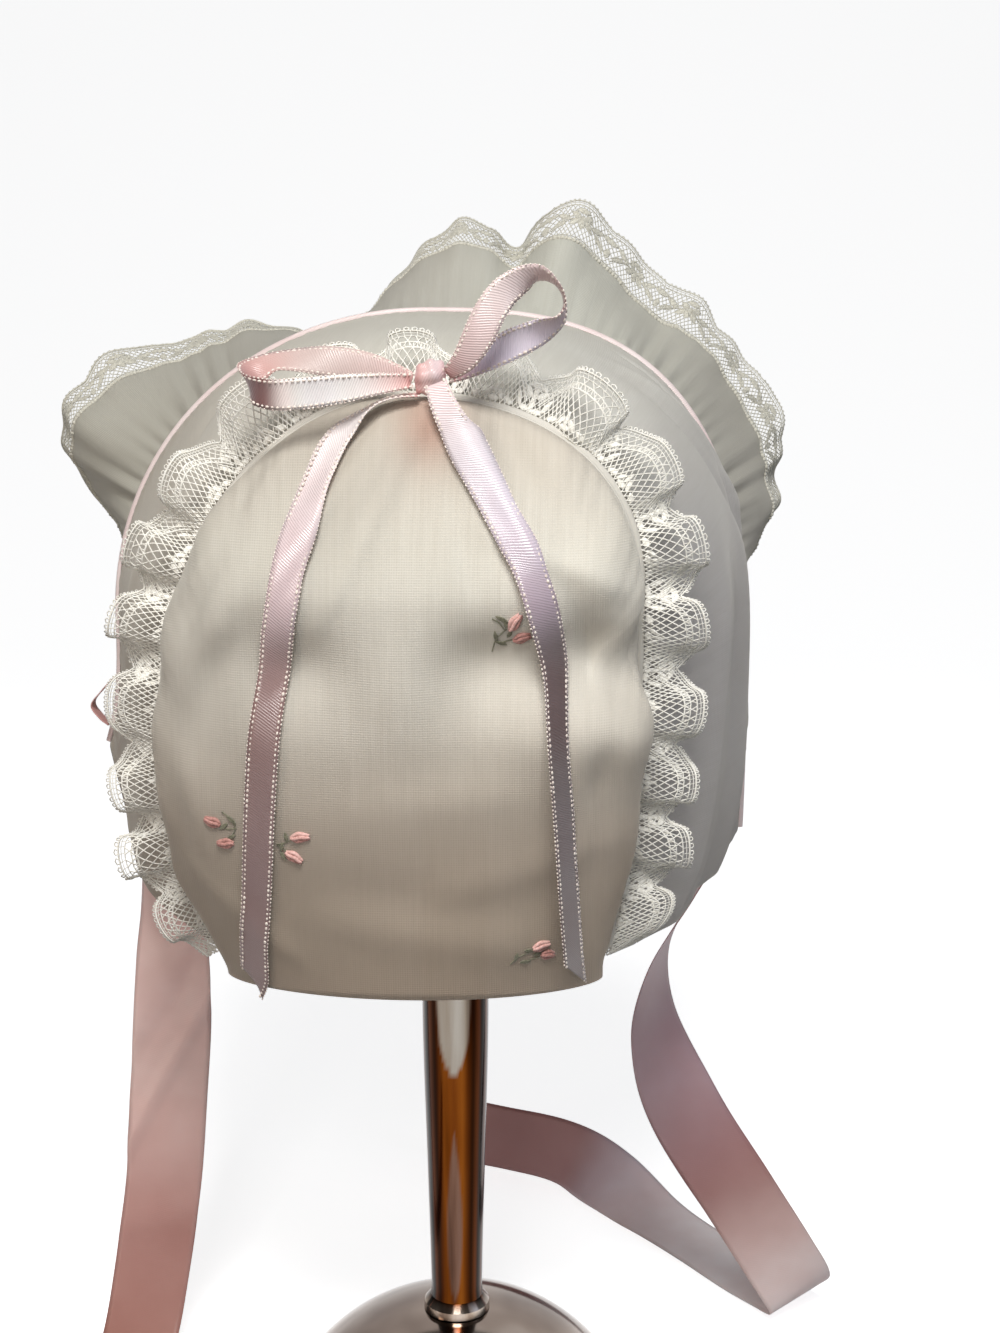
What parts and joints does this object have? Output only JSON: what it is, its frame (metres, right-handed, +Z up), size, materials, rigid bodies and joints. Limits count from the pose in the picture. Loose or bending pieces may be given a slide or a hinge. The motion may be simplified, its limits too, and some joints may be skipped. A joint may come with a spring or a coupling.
{
  "type": "baby bonnet on a display stand",
  "caption": "Sheer white baby bonnet with a lace-edged ruffle, lace back, pink bow and satin ties, on a round-footed metal stand.",
  "frame": {"origin": "centre of the stand foot's flat underside", "axes": "+Z up along the stand's post, +Y out of the face opening, +X to the right as seen from the bonnet's back"},
  "size_m": [0.2603, 0.2756, 0.3225],
  "materials": {
    "batiste": "sheer cotton batiste, plain weave",
    "cream_lace": "cotton bobbin lace, cream",
    "piping_satin": "pale pink satin cord",
    "bow_satin": "narrow pink satin ribbon with picot edges",
    "tie_satin": "wide dusty pink satin ribbon",
    "polished_metal": "polished, warm reflections"
  },
  "bodies": {
    "root": {"stand_base": "polished_metal", "stand_post": "polished_metal", "stand_cap": "polished_metal", "back_panel": "batiste", "side_band": "batiste", "piping": "piping_satin", "front_ruffle": "batiste", "ruffle_lace": "cream_lace", "back_lace": "cream_lace", "bow_knot": "bow_satin", "bow_loop_left": "bow_satin", "bow_loop_right": "bow_satin", "bow_tail_left": "bow_satin", "bow_tail_right": "bow_satin", "tie_left": "tie_satin", "tie_right": "tie_satin", "corner_tab": "tie_satin"}
  },
  "joints": []
}
